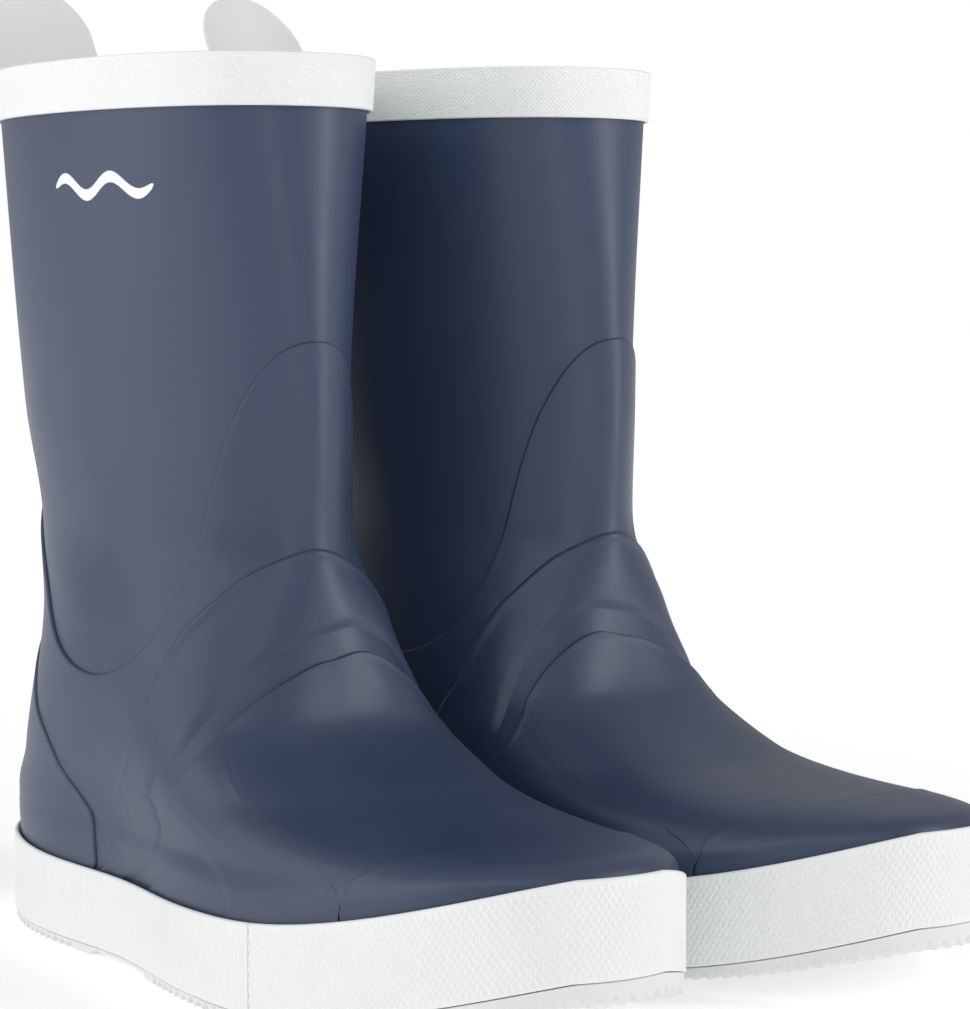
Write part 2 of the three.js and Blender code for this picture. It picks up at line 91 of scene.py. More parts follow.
# %% Sections of the last, in millimetres
RIM = 285.0
FOOT_LENGTH = 307.0
TOE_SPRING = 16.5
SPRING_START = 0.62
TOE_SWING = 6.0
WAIST, WAIST_PLACE, WAIST_SPREAD = 0.17, 0.36, 0.16
FOOT_LEVEL = 30.0
FOOT_FADE = 90.0
#   height, heel end, toe end, half width, place of the width, heel squareness, toe squareness
SECTIONS = np.array(
    [
        (30, -7, 307, 56, 0.69, 2.35, 2.0),
        (37, -5.7, 303.5, 55.5, 0.67, 2.42, 2.25),
        (45, -4, 284, 53, 0.64, 2.5, 2.8),
        (60, 2, 212, 53.5, 0.6, 2.1, 2.7),
        (80, 6, 171, 50, 0.6, 1.95, 2.9),
        (105, 7, 160, 44, 0.55, 1.85, 2.6),
        (135, 7, 156, 39.5, 0.53, 2.2, 1.8),
        (175, -2, 158, 41, 0.48, 2.25, 1.8),
        (285, -16, 155, 47.5, 0.49, 2.1, 2.35),
    ],
    float,
)


def section_values(level):
    """The six section values at each level, by a cubic that never overshoots."""
    at, values = SECTIONS[:, 0], SECTIONS[:, 1:]
    slope = np.diff(values, axis=0) / np.diff(at)[:, None]
    before, after = slope[:-1], slope[1:]
    same_way = before * after > 0
    total = np.where(same_way, before + after, 1)
    inner = np.where(same_way, 2 * before * after / total, 0)
    tangent = np.vstack([slope[:1], inner, slope[-1:]])
    level = np.clip(np.asarray(level, float), at[0], at[-1])
    i = np.clip(np.searchsorted(at, level, side="right") - 1, 0, len(at) - 2)
    span = (at[i + 1] - at[i])[..., None]
    f = ((level - at[i])[..., None]) / span
    rise = values[i + 1] - values[i]
    start, end = tangent[i] * span, tangent[i + 1] * span
    return values[i] + f * (
        start + f * (3 * rise - 2 * start - end + f * (start + end - 2 * rise))
    )


def toe_curl(x):
    share = np.clip(x / FOOT_LENGTH, 0, 1)
    return np.clip((share - SPRING_START) / (1 - SPRING_START), 0, 1) ** 2


def foot_fade(level):
    a = 1 - np.clip((level - FOOT_LEVEL) / FOOT_FADE, 0, 1)
    return a * a * (3 - 2 * a)


def form(level, turn):
    """Points of the last. Turn 0 is the back of the heel, then the left side, then the toe."""
    level, turn = np.broadcast_arrays(np.asarray(level, float), turn)
    back, front, half, wide, heel, toe = np.moveaxis(section_values(level), -1, 0)
    middle = back + (front - back) * wide
    along = -np.cos(turn)
    x = middle + along * np.where(along < 0, middle - back, front - middle)
    power = np.where(along < 0, heel, toe)
    across = np.maximum(0, 1 - np.abs(along) ** power) ** (1 / power)
    share = np.clip(x / FOOT_LENGTH, 0, 1)
    fade = foot_fade(level)
    waist = 1 - WAIST * fade * np.exp(-(((share - WAIST_PLACE) / WAIST_SPREAD) ** 2))
    y = np.sign(np.sin(turn)) * half * across * waist + TOE_SWING * share**2 * fade
    return np.stack([x, y, level + TOE_SPRING * toe_curl(x) * fade], -1)


def unit(vectors):
    return vectors / np.linalg.norm(vectors, axis=-1, keepdims=True)


def form_normal(level, turn):
    level, turn = np.broadcast_arrays(np.asarray(level, float), turn)
    around = form(level, turn + 0.012) - form(level, turn - 0.012)
    up = form(np.minimum(level + 0.6, RIM), turn) - form(level - 0.6, turn)
    return unit(np.cross(up, around))


EDGE_ROUND, EDGE_INSET, UPPER_BOTTOM = 10.0, 3.0, 7.8


def layer(level, turn, off, flat=False):
    """Points at a distance off the last. In the foot they keep the height of their layer."""
    level, turn, off = np.broadcast_arrays(np.asarray(level, float), turn, off)
    in_foot = level <= FOOT_LEVEL
    normal = form_normal(level, turn)
    normal[..., 2] = np.where(in_foot | flat, 0, normal[..., 2])
    round_in = np.clip((UPPER_BOTTOM + EDGE_ROUND - level) / EDGE_ROUND, 0, 1)
    points = form(level, turn) + unit(normal) * (off - EDGE_INSET * round_in**2)[..., None]
    points[..., 2] = np.where(in_foot, level + TOE_SPRING * toe_curl(points[..., 0]), points[..., 2])
    return points


print("foot outline length in mm:", round(float(np.ptp(form(30.0, np.linspace(0, math.tau, 90))[:, 0]))))

# %% [markdown]
# ## From a grid to a skin
# Every skin starts as one flat grid from Blender's own grid operator. Its corners are then
# laid on the last, and where two edges meet they are merged, so a ring closes on itself. The
# grid's own map is kept in millimetres, which lets a knit or a grain follow the surface.

# %% Grid helper
def laid_grid(points, sharp=None):
    """A grid whose corner in row i and column j lies at points[i, j], flat at its sharp rows."""
    rows, columns = points.shape[:2]
    sharp = np.zeros(rows, bool) if sharp is None else sharp
    work = bmesh.new()
    bmesh.ops.create_grid(work, x_segments=columns - 1, y_segments=rows - 1, size=0.5)
    map_layer = work.loops.layers.uv.new("millimetres")
    place = {}
    for vert in work.verts:
        i = round((vert.co.y + 0.5) * (rows - 1))
        j = round((vert.co.x + 0.5) * (columns - 1))
        place[vert] = (i, j)
    step_u = np.linalg.norm(np.diff(points, axis=1), axis=-1).mean(0)
    step_v = np.linalg.norm(np.diff(points, axis=0), axis=-1).mean(1)
    u, v = np.append(0, step_u.cumsum()), np.append(0, step_v.cumsum())
    uv = np.stack(np.meshgrid(u, v), -1)
    for face in work.faces:
        for loop in face.loops:
            loop[map_layer].uv = uv[place[loop.vert]]
    for vert, where in place.items():
        vert.co = points[where]
    for face in work.faces:
        face.smooth = not any(sharp[place[vert][0]] for vert in face.verts)
    return work


def close_up(work, fill_ends=False):
    """Merges the edges that meet, fills open ends and turns every face outwards."""
    bmesh.ops.remove_doubles(work, verts=work.verts, dist=0.004)
    bmesh.ops.dissolve_degenerate(work, edges=work.edges, dist=0.001)
    if fill_ends:
        rim = [edge for edge in work.edges if edge.is_boundary]
        bmesh.ops.holes_fill(work, edges=rim, sides=0)
    bmesh.ops.recalc_face_normals(work, faces=work.faces)
    return work


ANCHOR = (118.5, 0.0)  # the middle of the shank, in the boot's own frame
TOE_OUT = math.radians(4.2)
shank_low, shank_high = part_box("right_shank")
anchor_row = (shank_low + shank_high) / 2


def to_row(x, y, z):
    """A point of the right boot, from its own frame to the shared one, in metres."""
    dx, dy = (x - ANCHOR[0]) * MM, (y - ANCHOR[1]) * MM
    c, s = math.cos(TOE_OUT), math.sin(TOE_OUT)
    return Vector((anchor_row.x + dx * c + dy * s, anchor_row.y - dx * s + dy * c, z * MM))


def new_object(name, work):
    mesh = bpy.data.meshes.new(name)
    work.to_mesh(mesh)
    piece = bpy.data.objects.new(name, mesh)
    bpy.context.scene.collection.objects.link(piece)
    return piece


made = {}


def make_pair(name, work, material, nodes=None, ride=True):
    """Places a right boot piece, and its mirror image on the left boot."""
    for vert in work.verts:
        vert.co = to_row(*vert.co)
    for side in ("right", "left"):
        if side == "left":
            bmesh.ops.scale(work, vec=(1, -1, 1), verts=work.verts)
            bmesh.ops.reverse_faces(work, faces=work.faces)
        piece = new_object(f"{side}_{name}_skin", work)
        piece.data.materials.append(material)
        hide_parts(*[f"{side}_{node}" for node in nodes or [name]])
        if ride:
            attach(piece, f"{side}_boot")
        made[side, name] = piece
    print(f"{name}: {len(work.faces)} faces on each boot")
    work.free()


# %% [markdown]
# ## Materials
# The boot is one family of vulcanised rubbers. Pigment and filler set their colours, and the
# mould or the hot lacquer bath sets their gloss. Rubber is a dielectric with an IOR near
# 1.52. Its surface is never perfectly even, so each material has a slow change in roughness
# and a fine grain that lifts the surface by a few hundredths of a millimetre.

# %% Material helpers
def linear(hex_colour):
    """An sRGB hex colour as linear red, green, blue and alpha."""
    parts = [int(hex_colour[i : i + 2], 16) / 255 for i in (1, 3, 5)]
    return [c / 12.92 if c <= 0.04045 else ((c + 0.055) / 1.055) ** 2.4 for c in parts] + [1.0]


def add(tree, kind, settings=None, **inputs):
    """Adds a node with its settings, and its inputs as values or as links."""
    node = tree.nodes.new(kind)
    for key, value in (settings or {}).items():
        setattr(node, key, value)
    for key, value in inputs.items():
        socket = node.inputs[key.replace("_", " ")]
        if isinstance(value, bpy.types.NodeSocket):
            tree.links.new(value, socket)
        else:
            socket.default_value = value
    return node


def start_material(name, colour, roughness, ior=1.52, metallic=0.0):
    material = bpy.data.materials.new(name)
    material.use_nodes = True
    material.diffuse_color = linear(colour)
    tree = material.node_tree
    shader = tree.nodes["Principled BSDF"]
    shader.inputs["Base Color"].default_value = linear(colour)
    shader.inputs["Roughness"].default_value = roughness
    shader.inputs["IOR"].default_value = ior
    shader.inputs["Metallic"].default_value = metallic
    return material, tree, shader


def ramp(tree, factor, low, high, start=0.0, end=1.0):
    node = add(tree, "ShaderNodeMapRange", Value=factor)
    for socket, value in zip(("From Min", "From Max", "To Min", "To Max"), (start, end, low, high)):
        node.inputs[socket].default_value = value
    return node.outputs["Result"]


def grain(tree, shader, size_mm, height_mm, cloud_mm, roughness, colours):
    """Fine grain as bump, and slow clouds in roughness and colour, on object coordinates."""
    where = add(tree, "ShaderNodeTexCoord").outputs["Object"]
    fine = add(tree, "ShaderNodeTexNoise", Vector=where, Scale=1 / (size_mm * MM), Detail=3.0)
    cloud = add(tree, "ShaderNodeTexNoise", Vector=where, Scale=1 / (cloud_mm * MM), Detail=4.0)
    bump = add(tree, "ShaderNodeBump", Height=fine.outputs["Fac"], Distance=height_mm * MM)
    tree.links.new(bump.outputs["Normal"], shader.inputs["Normal"])
    patchy = ramp(tree, cloud.outputs["Fac"], *roughness, 0.3, 0.7)
    tree.links.new(patchy, shader.inputs["Roughness"])
    tint = add(tree, "ShaderNodeMix", {"data_type": "RGBA"})
    tree.links.new(cloud.outputs["Fac"], tint.inputs[0])
    tint.inputs[6].default_value, tint.inputs[7].default_value = map(linear, colours)
    tree.links.new(tint.outputs[2], shader.inputs["Base Color"])
    return bump


# %% Navy rubber, calendered and lacquered
# Natural rubber with a satin lacquer: dark blue, a broad soft highlight, and a faint grain
# left by the calender rolls and the last.
navy, tree, shader = start_material("navy_rubber_satin", "#2f3d59", 0.42)
grain(tree, shader, 1.1, 0.012, 60, (0.36, 0.46), ("#2b3853", "#33415c"))

# %% White rubber, pressed
# Titanium white filler makes it nearly opaque and matte. It is a touch warmer in the clouds.
white, tree, shader = start_material("white_rubber_pressed", "#e9ebea", 0.5)
grain(tree, shader, 0.8, 0.01, 40, (0.46, 0.56), ("#eceeee", "#e4e6e5"))
sole_white, tree, shader = start_material("white_rubber_sole", "#e2e4e3", 0.55)
grain(tree, shader, 1.2, 0.03, 35, (0.5, 0.62), ("#e4e6e5", "#d8dad9"))

# %% Print ink
# A thick white screen ink, flat and slightly chalky, that takes on the rubber's grain.
ink, tree, shader = start_material("screen_ink_white", "#f4f5f4", 0.58)
grain(tree, shader, 0.6, 0.01, 12, (0.52, 0.64), ("#f6f7f6", "#eff0ef"))

# %% Knitted lining
# A polyester jersey, grey as it comes off the machine. Its stitches stand in columns 1.6 mm
# apart and courses 1.2 mm apart, which is drawn from the skin's own map in millimetres. The
# hollows between stitches are painted darker and their crowns lighter: painted shade and
# painted highlight.
knit, tree, shader = start_material("polyester_jersey_grey", "#b9bdc2", 0.95)
WALE, COURSE = 1.6, 1.2
flat_map = add(tree, "ShaderNodeUVMap", {"uv_map": "millimetres"}).outputs["UV"]
parts = add(tree, "ShaderNodeSeparateXYZ", Vector=flat_map)
waves = []
for axis, pitch in (("X", WALE), ("Y", COURSE)):
    turns = add(tree, "ShaderNodeMath", {"operation": "MULTIPLY"})
    tree.links.new(parts.outputs[axis], turns.inputs[0])
    turns.inputs[1].default_value = math.tau / pitch
    wave = add(tree, "ShaderNodeMath", {"operation": "SINE"})
    tree.links.new(turns.outputs[0], wave.inputs[0])
    waves.append(wave.outputs[0])
stitch = add(tree, "ShaderNodeMath", {"operation": "ADD"})
tree.links.new(waves[0], stitch.inputs[0])
tree.links.new(waves[1], stitch.inputs[1])
bump = add(tree, "ShaderNodeBump", Height=stitch.outputs[0], Distance=0.15 * MM)
tree.links.new(bump.outputs["Normal"], shader.inputs["Normal"])
# Painted shade in the stitch hollows and painted highlight on the stitch crowns, from the same wave as
# the bump.
painted_stitch_shade = ramp(tree, stitch.outputs[0], 0.0, 1.0, -2.0, 2.0)
tint = add(tree, "ShaderNodeMix", {"data_type": "RGBA"})
tree.links.new(painted_stitch_shade, tint.inputs[0])
tint.inputs[6].default_value, tint.inputs[7].default_value = linear("#9a9ea4"), linear("#c9cdd1")
tree.links.new(tint.outputs[2], shader.inputs["Base Color"])
shader.inputs["Sheen Weight"].default_value = 0.2

# %% Hidden layers
# Cloth on foam, pressed fibre board, sponge filler and a rolled steel shank. They only show
# when the boot is taken apart, but each has its own grain.
foam, tree, shader = start_material("cloth_covered_foam", "#34373d", 0.92)
grain(tree, shader, 0.7, 0.06, 20, (0.88, 0.98), ("#2f3238", "#3d4147"))
board, tree, shader = start_material("fibre_board_pressed", "#9c8f78", 0.9)
grain(tree, shader, 0.9, 0.05, 9, (0.84, 0.95), ("#a3967f", "#8b7f69"))
sponge, tree, shader = start_material("sponge_rubber", "#454543", 0.9)
grain(tree, shader, 1.5, 0.2, 12, (0.85, 0.95), ("#3d3d3b", "#4f4f4c"))
steel, tree, shader = start_material("spring_steel_rolled", "#8d9094", 0.38, 1.5, 1.0)
grain(tree, shader, 0.5, 0.006, 15, (0.32, 0.45), ("#94979b", "#84878b"))
print("materials:", ", ".join(sorted(m.name for m in bpy.data.materials)))

# %% [markdown]
# ## The shaft and foot
# The upper is one tube of rubber sheet with a wall of 1.8 mm, drawn over the last. A grid
# that runs up its outer face and down its inner face gives both walls at once, with the
# lasted edge turned in under the foot. The jersey sock inside is made the same way.

# %% Upper and lining
COLUMNS = 260
around = np.linspace(0, math.tau, COLUMNS + 1)
WALL, SOCK, GAP = 1.8, 1.0, 0.3
LASTED = 14.0


def tube(bottom, top, outer, thick, rows_up, rows_down):
    """A hollow wall: up its outer face, over the edge and down its inner face."""
    rise = np.concatenate([np.linspace(bottom, 36, 8)[:-1], np.linspace(36, 110, 40)[:-1],
                           np.linspace(110, top, rows_up)])
    fall = np.linspace(top, bottom + thick, rows_down)
    rows = [(bottom, outer - LASTED)] + [(z, outer) for z in rise[:-1]]
    rows += [(top - 0.4, outer), (top - 0.1, outer - 0.15), (top, outer - 0.4)]
    rows += [(top, outer - thick + 0.4), (top - 0.1, outer - thick + 0.15)]
    rows += [(z, outer - thick) for z in fall[1:]]
    rows += [(bottom + thick, outer - LASTED), (bottom, outer - LASTED)]
    level, off = np.array(rows).T
    flat = (level > RIM - 2)[:, None]
    return close_up(laid_grid(layer(level[:, None], around[None], off[:, None], flat)))


make_pair("upper", tube(UPPER_BOTTOM, RIM - GAP, 0, WALL, 50, 40), navy)
make_pair("lining", tube(12.0, RIM - 2 * GAP, -WALL - GAP, SOCK, 40, 60), knit)

# %% [markdown]
# ## Overlays
# Thin sheets are pressed onto the foot before the boot goes into the oven: a galosh all round
# the foot, a heel counter, an instep strap, a vamp and a toe cap. What the eye reads is
# their edges. So each sheet's columns start on its own edge line and run down to the sole,
# with fine rows next to the edge, and a profile says how high the sheet stands at each
# distance from it. Edge lines are drawn by turn round the last, in degrees, and level.

# %% Edge lines and panels
def smooth_line(points, count=240):
    """A line through given points, by Catmull and Rom's rule."""
    p = np.array(points, float)
    p = np.vstack([2 * p[0] - p[1], p, 2 * p[-1] - p[-2]])
    t = np.linspace(0, len(points) - 1 - 1e-9, count)
    i, f = t.astype(int), (t % 1)[:, None]
    a, b, c, d = p[i], p[i + 1], p[i + 2], p[i + 3]
    return 0.5 * (2 * b + (c - a) * f + (2 * a - 5 * b + 4 * c - d) * f**2
                  + (3 * b - a - 3 * c + d) * f**3)


def spread_evenly(line, count):
    """The same line with points at even distances over the last."""
    points = form(line[:, 1], line[:, 0])
    run = np.append(0, np.linalg.norm(np.diff(points, axis=0), axis=1).cumsum())
    at = np.linspace(0, run[-1], count)
    return np.stack([np.interp(at, run, line[:, k]) for k in range(2)], 1)


def both_sides(half, centre):
    """Adds the other side of a line, mirrored about the turn of its middle, in degrees."""
    other = [(2 * centre - turn, level) for turn, level in half[-2::-1]]
    full = smooth_line(list(half) + other, 480)
    full[:, 0] = np.radians(full[:, 0])
    return full


PEAK_LEAN, LEAN_REACH = 8.0, 60.0  # in degrees of turn


def leaning(half):
    """Both sides of a line about the toe, with its peak leaned over towards the inner side."""
    line = both_sides(half, 180)
    from_toe = np.degrees(line[:, 0]) - 180
    share = np.clip(1 - (from_toe / LEAN_REACH) ** 2, 0, 1) ** 2
    line[:, 0] -= math.radians(PEAK_LEAN) * share
    return line


# distances from an edge, in millimetres, at which a sheet has its fine rows
NEAR = np.array([0, 0.06, 0.16, 0.3, 0.48, 0.7, 1.0, 1.4, 2.0, 2.8, 3.8, 5.0, 6.5, 8.5, 11.0])


def panel(top, bottom, columns, rows, profile, inner, soft_foot=False):
    """A closed sheet from its top edge line down to its bottom line, or straight to a level.

    The profile gives the sheet's distance off the last from the distances to its top and
    foot edges and the turn.
    """
    top = spread_evenly(top, columns)
    if np.isscalar(bottom):
        bottom = np.stack([top[:, 0], np.full(columns, float(bottom))], 1)
    else:
        bottom = spread_evenly(bottom, columns)
    share = np.linspace(0, 1, 201)[:, None, None]
    path = top * (1 - share) + bottom * share
    points = form(path[..., 1], path[..., 0])
    run = np.linalg.norm(np.diff(points, axis=0), axis=-1).cumsum(0)
    run = np.vstack([np.zeros(columns), run])
    length = np.maximum(run[-1], 1e-6)

    def steepness(edge, inward):
        along, down = unit(np.gradient(edge, axis=0) + 1e-9), unit(inward + 1e-9)
        sine = np.linalg.norm(np.cross(along, down), axis=-1)
        return 1 / np.clip(sine, 0.22, 1)

    reach = steepness(points[0], points[12] - points[0])
    count = len(NEAR) + rows
    even = np.arange(count)[:, None] / (count - 1) * length
    at = np.empty((count, columns))
    at[: len(NEAR)] = np.minimum(NEAR[:, None] * reach, even[: len(NEAR)])
    last = len(NEAR) - 1
    if soft_foot:
        foot = steepness(points[-1], points[-13] - points[-1])
        at[-len(NEAR) :] = length - np.minimum(NEAR[::-1][:, None] * foot, even[: len(NEAR)][::-1])
        middle = np.linspace(0, 1, count - 2 * len(NEAR) + 2)[1:-1, None]
        at[len(NEAR) : -len(NEAR)] = at[last] * (1 - middle) + at[-len(NEAR)] * middle
    else:
        foot = reach
        middle = np.linspace(0, 1, rows + 1)[1:, None]
        at[len(NEAR) :] = at[last] * (1 - middle) + length * middle
    turn, level = np.empty_like(at), np.empty_like(at)
    for j in range(columns):
        f = np.interp(at[:, j], run[:, j], share[:, 0, 0])
        turn[:, j] = top[j, 0] * (1 - f) + bottom[j, 0] * f
        level[:, j] = top[j, 1] * (1 - f) + bottom[j, 1] * f
    from_top, from_foot = at / reach, (length - at) / foot
    off = profile(from_top, from_foot, turn)
    off[0] = inner
    off[-1] = inner
    back = np.arange(count)[::-1]
    turn, level = np.vstack([turn, turn[back]]), np.vstack([level, level[back]])
    off = np.vstack([off, np.full((len(back), columns), inner)])
    return close_up(laid_grid(layer(level, turn, off)), fill_ends=True)


def rolled(distance, radius):
    """The height, from 0 to 1, of an edge that rolls over in a quarter of a circle."""
    f = np.clip(distance / radius, 0, 1)
    return np.sqrt(1 - (1 - f) ** 2)


def hollow(distance, width):
    """1 at the edge, falling smoothly to 0 at the given distance."""
    f = np.clip(1 - distance / width, 0, 1)
    return f * f * (3 - 2 * f)


UNDER_TAPE = 26.5  # where the overlays end, behind the foxing tape


def level_line(start, end, level, count=200):
    return np.stack([np.radians(np.linspace(start, end, count)), np.full(count, level)], 1)


# %% Galosh
GALOSH_EDGE = [(0, 153), (20, 148), (36, 137), (52, 120), (62, 107), (74, 95.5), (86, 91),
               (100, 93), (112, 98), (121, 105), (128, 117), (133, 137), (139, 157),
               (146, 174), (155, 187), (166, 194.5), (180, 196.5)]
galosh_line = both_sides(GALOSH_EDGE, 180)
SHEET = 0.8


def galosh_profile(top, foot, turn):
    return -0.1 + (GAP + SHEET + 0.1) * rolled(top, 0.75)


make_pair("galosh", panel(galosh_line, 20.0, 420, 34, galosh_profile, -0.1), navy)

# %% Heel counter
COUNTER_EDGE = [(57, 27), (58.5, 38), (61.5, 47), (64, 57), (62, 68), (53, 78.5), (43, 90),
                (30, 100), (15, 107.5), (0, 110)]
ON_GALOSH = GAP + SHEET


def counter_profile(top, foot, turn):
    return ON_GALOSH - 0.15 + 0.95 * rolled(top, 0.9)


make_pair("heel_counter", panel(both_sides(COUNTER_EDGE, 0), level_line(57, -57, UNDER_TAPE),
                                260, 26, counter_profile, ON_GALOSH - 0.15), navy)

# %% Instep strap
def to_front(turn):
    """1 over the front of the foot, falling smoothly to 0 on its sides."""
    f = np.clip((90 - np.abs(np.degrees(turn) - 180)) / 42, 0, 1)
    return f * f * (3 - 2 * f)


STRAP_TOP = [(57.5, 27), (66, 42), (86, 62), (114, 83), (128, 100), (134, 108), (140, 114),
             (150, 123.5), (160, 128.5), (170, 131.5), (180, 132.5)]
STRAP_FOOT = [(66, 27), (72, 36), (80, 46), (91, 55), (106, 63), (120, 68), (133, 75), (140, 80.5),
              (148, 88.5), (156, 95.5), (164, 100.3), (172, 104.2), (180, 106)]


def strap_profile(top, foot, turn):
    front = to_front(turn)
    crown = 0.55 * (1 - np.exp(-np.minimum(top, foot) / 6))
    upper_lip = 0.5 * hollow(np.abs(top - 1.4), 3.0)
    body = 0.3 + (0.5 + crown + upper_lip) * (0.25 + 0.75 * front)
    return ON_GALOSH - 0.2 + (body + 0.2) * rolled(top, 1.6) * (1 - hollow(foot, 5.5))


make_pair("instep_strap",
          panel(both_sides(STRAP_TOP, 180), leaning(STRAP_FOOT), 300, 30,
                strap_profile, ON_GALOSH - 0.2, soft_foot=True), navy)

# %% Vamp and toe cap
VAMP_LIP = [(69, 27), (75.5, 36), (84, 45), (94, 52.5), (108, 60), (123, 66.5), (133, 71.5), (140, 75.5),
            (148, 82), (156, 88), (164, 93.2), (172, 97.8), (180, 100)]
CAP_EDGE = [(113, 27), (117, 36), (126, 42), (140, 45.5), (155, 47.5), (180, 48.5)]


def vamp_profile(top, foot, turn):
    lip = 1.05 * hollow(top, 26) ** 1.5 + 0.3 * hollow(np.abs(top - 0.9), 1.8)
    height = 0.5 + (0.35 + lip) * (0.3 + 0.7 * to_front(turn))
    return ON_GALOSH - 0.2 + height * rolled(top, 0.9) * rolled(foot, 0.5)


def cap_profile(top, foot, turn):
    height = 0.55 + (0.45 + 0.2 * hollow(top, 5)) * to_front(turn)
    return ON_GALOSH - 0.1 + height * rolled(top, 0.7)


vamp_foot = both_sides([(69.5, 27), (80, 26.6), (95, UNDER_TAPE), (110, 27), (116, 35),
                        (125.5, 41.2), (140, 44.7), (155, 46.7), (180, 47.7)], 180)
make_pair("vamp", panel(leaning(VAMP_LIP), vamp_foot, 320, 46, vamp_profile,
                        ON_GALOSH - 0.2, soft_foot=True), navy)
make_pair("toe_cap", panel(both_sides(CAP_EDGE, 180), level_line(114, 246, UNDER_TAPE), 260, 24,
                           cap_profile, ON_GALOSH - 0.1), navy)

# %% [markdown]
# ## The white tapes
# The rim band and the foxing are strips of white rubber that came off an engraved roller.
# The engraving is real relief, 0.2 to 0.35 mm deep, so it is made as geometry: every second
# corner of a fine grid is sunk, and the quads are split along the ridges that are left. The
# facets are shaded flat, so a lattice of small diamonds catches the light.

# %% Tape helpers
def even_turns(level, pitch, off=0.0, start=0.0, end=math.tau):
    """Turns whose points at that level lie a pitch apart."""
    turns = np.linspace(start, end, 4000)
    points = layer(np.full(len(turns), float(level)), turns, off)
    run = np.append(0, np.linalg.norm(np.diff(points, axis=0), axis=1).cumsum())
    count = int(round(run[-1] / pitch / 2)) * 2
    return np.interp(np.linspace(0, run[-1], count + 1), run, turns)


def split_on_ridges(work, sunk):
    """Splits each quad between the two corners that aren't sunk."""
    for face in list(work.faces):
        if len(face.verts) != 4:
            continue
        high = [vert for vert in face.verts if vert not in sunk]
        if len(high) == 2 and not any(high[1] in edge.verts for edge in high[0].link_edges):
            bmesh.utils.face_split(face, high[0], high[1])


# %% Rim band
BAND_BOTTOM, BAND_THICK = RIM - 16.5, 1.5
band_off = GAP + BAND_THICK
BAND_CELL = 1.5
band_turns = even_turns(276, BAND_CELL / 2, band_off)


def sunk_corners(row, turns, kind):
    """Which corners of an engraved row are sunk: every second one, or every second column."""
    column = np.arange(len(turns))
    return (column + (row if kind == "diamonds" else 0)) % 2 == 1


def tape(points, low, kind, closed):
    """A closed tape from its rows of points, with the quads of diamonds split on their ridges."""
    work = laid_grid(points, low.any(1))
    if kind == "diamonds":
        columns = points.shape[1]
        sunk = {vert for vert in work.verts if low[divmod(vert.index, columns)]}
        split_on_ridges(work, sunk)
    return close_up(work, fill_ends=not closed)


BAND_RELIEF = 0.22


def band_rows():
    """The band's rows of (height, offset, engraved), up its outer face and down its inner one."""
    ladder = [(z, band_off, True) for z in np.linspace(BAND_BOTTOM + 1, RIM - 1, 19)]
    foot = [(BAND_BOTTOM, GAP, False), (BAND_BOTTOM, band_off - 0.5, False),
            (BAND_BOTTOM + 0.2, band_off - 0.12, False), (BAND_BOTTOM + 0.6, band_off, False)]
    lip = [(RIM - 0.6, band_off, False), (RIM - 0.18, band_off - 0.15, False),
           (RIM, band_off - 0.5, False), (RIM, GAP, False), (BAND_BOTTOM, GAP, False)]
    return foot + ladder + lip


def rim_band():
    rows = band_rows()
    low = np.array([sunk_corners(i, band_turns, "diamonds") & cut for i, (_, _, cut) in enumerate(rows)])
    height, off = np.array([row[:2] for row in rows]).T
    off = off[:, None] - BAND_RELIEF * low
    return tape(layer(height[:, None], band_turns[None], off, flat=True), low, "diamonds", True)


make_pair("rim_band", rim_band(), white)

# %% [markdown]
# ## Foxing and sole
# The foxing tape is wrapped round the foot in two runs. The heel run is ribbed upright, and
# the toe bumper is cut in diamonds. Its upper edge is higher at the heel and at the toe than
# at the waist. The sole's side shows under it, notched like a saw where it meets the deck.

# %% Heel foxing and toe bumper
TAPE_TOP = {"heel": 30.3, "middle": 28.2, "toe": 35.8}
TAPE_BOTTOM, TAPE_TOE_RISE = 3.2, 4.0
TAPE_OFF, TAPE_IN = 4.0, 1.7
JOINT_X = 212.0
SEAT_OFF = 2.3  # where the tape's lip lands on the overlays


def smooth_step(x, start, end):
    f = np.clip((x - start) / (end - start), 0, 1)
    return f * f * (3 - 2 * f)


def tape_top(x):
    u = np.clip(x / FOOT_LENGTH, 0, 1)
    return (TAPE_TOP["heel"] * (1 - u) * (1 - 2 * u) + TAPE_TOP["middle"] * 4 * u * (1 - u)
            + TAPE_TOP["toe"] * u * (2 * u - 1))


def tape_bottom(x):
    return TAPE_BOTTOM + TAPE_TOE_RISE * toe_curl(x)


def turn_at(x):
    """The turn, on the left side, of the foot outline's point at x."""
    turns = np.linspace(0, math.pi, 2000)
    return float(np.interp(x, form(FOOT_LEVEL, turns)[:, 0], turns))


def upright(height, turns, off):
    """Points of an upright face round the foot, at a height above the curling sole."""
    points = layer(np.full(len(turns), FOOT_LEVEL), turns, off)
    points[:, 2] += height - FOOT_LEVEL
    return points


